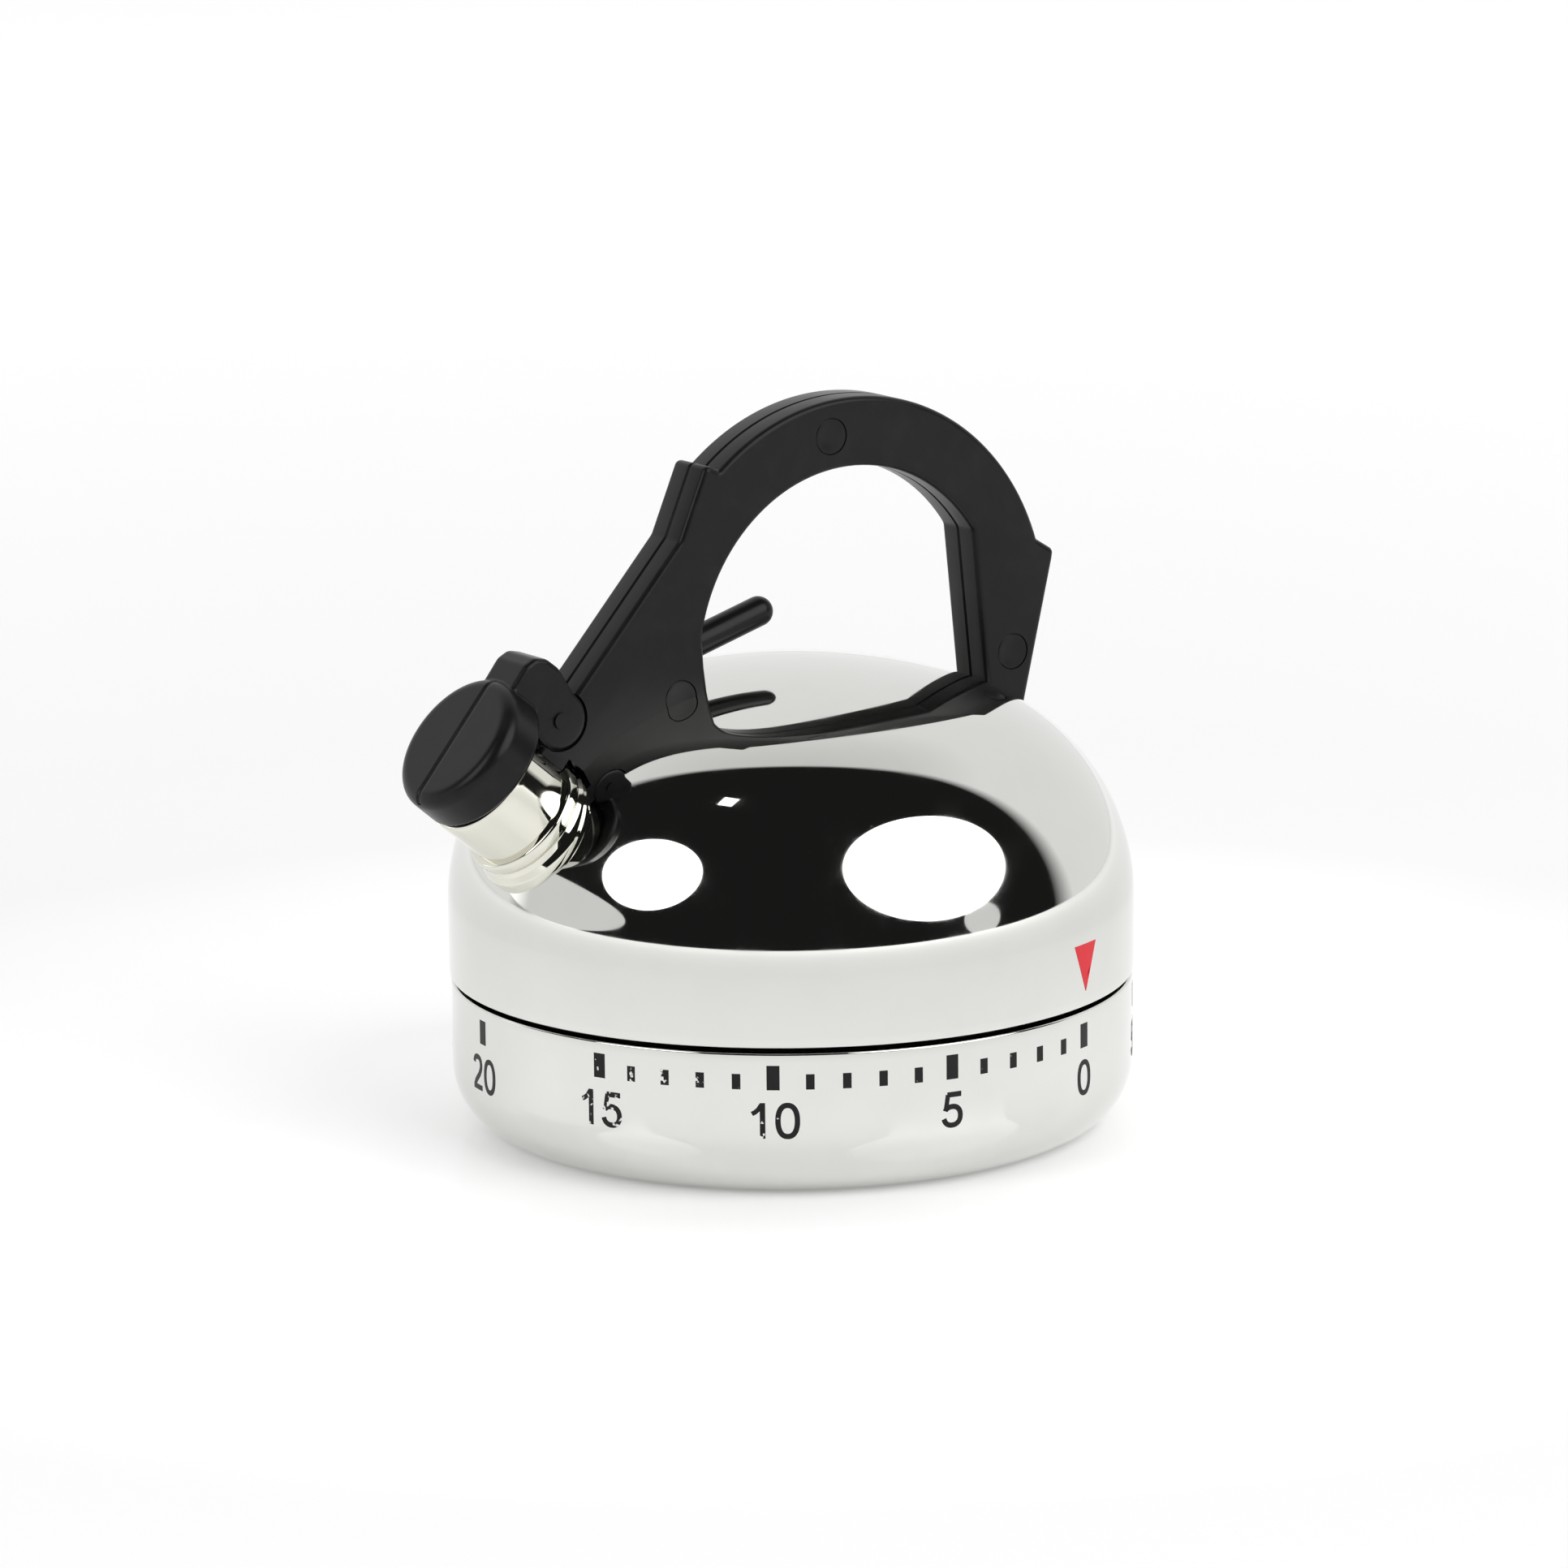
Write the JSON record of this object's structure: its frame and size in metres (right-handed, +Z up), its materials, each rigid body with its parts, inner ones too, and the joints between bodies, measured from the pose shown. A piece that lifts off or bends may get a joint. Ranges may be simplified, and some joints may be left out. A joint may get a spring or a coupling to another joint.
{
  "type": "mechanical kitchen timer",
  "caption": "Kettle-shaped clockwork kitchen timer: chromed dome turns on a printed minute ring, with a bridge handle, spout and flip cap worked by a trigger rod.",
  "frame": {"origin": "centre of the flat underside, on the axis that the dome turns about", "axes": "+Z up along the dome's axis; the spout points along -X and the handle lies in the XZ plane, so +X points to the handle's rear leg; +Y completes the frame"},
  "size_m": [0.0774, 0.068, 0.072],
  "materials": {
    "chrome": "mirror-bright plating",
    "spout_chrome": "mirror-bright plating with a slightly warm tint",
    "black_plastic": "moulded, satin",
    "inner_plastic": "moulded, fine texture",
    "brass": "stamped, bright",
    "steel": "turned",
    "spring_steel": "blued strip"
  },
  "bodies": {
    "base": {"base_ring": "chrome", "bottom_cover": "inner_plastic", "guide_ring": "inner_plastic", "case_screws": "steel", "lower_plate": "brass", "upper_plate": "brass", "pillars": "steel", "plate_nuts": "steel", "bell": "steel", "bell_post": "steel", "bell_screw": "steel", "stop_post": "steel", "spring_post": "steel", "mainspring": "spring_steel"},
    "dome": {"dome_shell": "chrome", "dome_carrier": "inner_plastic", "handle_near": "black_plastic", "handle_far": "black_plastic", "handle_pins": "black_plastic", "handle_bush": "inner_plastic", "handle_screw": "steel", "spout_tube": "spout_chrome", "spout_collar": "spout_chrome", "main_arbor": "steel", "main_wheel": "brass", "ratchet_wheel": "brass", "click_spring": "spring_steel", "spring_collet": "steel", "stop_arm": "steel", "alarm_cam": "brass"},
    "cap": {"whistle_cap": "black_plastic", "pivot_pin": "black_plastic", "trigger_lever": "black_plastic"},
    "second": {"second_arbor": "steel", "second_pinion": "steel", "second_wheel": "brass"},
    "third": {"third_arbor": "steel", "third_pinion": "steel", "third_wheel": "brass"},
    "escape": {"escape_arbor": "steel", "escape_pinion": "steel", "escape_wheel": "brass"},
    "balance": {"balance_staff": "steel", "balance_bar": "brass", "pallets": "brass"},
    "hammer": {"hammer_arbor": "steel", "hammer_arm": "steel", "release_arm": "steel"}
  },
  "joints": [
    {"name": "dome_turn", "type": "hinge", "parent": "base", "child": "dome", "pos_m": [0, 0, 0.03], "axis": [0, 0, 1], "range_deg": [-345, 0]},
    {"name": "cap_flip", "type": "hinge", "parent": "dome", "child": "cap", "pos_m": [-0.0287, 0, 0.04411], "axis": [0, 1, 0], "range_deg": [0, 8]},
    {"name": "second_turn", "type": "hinge", "parent": "base", "child": "second", "pos_m": [0, 0.01652, 0.012], "axis": [0, 0, 1], "continuous": true},
    {"name": "third_turn", "type": "hinge", "parent": "base", "child": "third", "pos_m": [-0.01059, 0.01267, 0.012], "axis": [0, 0, 1], "continuous": true},
    {"name": "escape_turn", "type": "hinge", "parent": "base", "child": "escape", "pos_m": [-0.01634, 0.00446, 0.012], "axis": [0, 0, 1], "continuous": true},
    {"name": "balance_swing", "type": "hinge", "parent": "base", "child": "balance", "pos_m": [-0.01634, -0.00184, 0.012], "axis": [0, 0, 1], "range_deg": [-4, 4]},
    {"name": "hammer_swing", "type": "hinge", "parent": "base", "child": "hammer", "pos_m": [0.009, -0.014, 0.012], "axis": [0, 0, 1], "range_deg": [-6, 0]}
  ],
  "couplings": [
    {"joint": "second_turn", "follows": "dome_turn", "ratio": -5},
    {"joint": "third_turn", "follows": "dome_turn", "ratio": 20},
    {"joint": "escape_turn", "follows": "dome_turn", "ratio": -80}
  ]
}
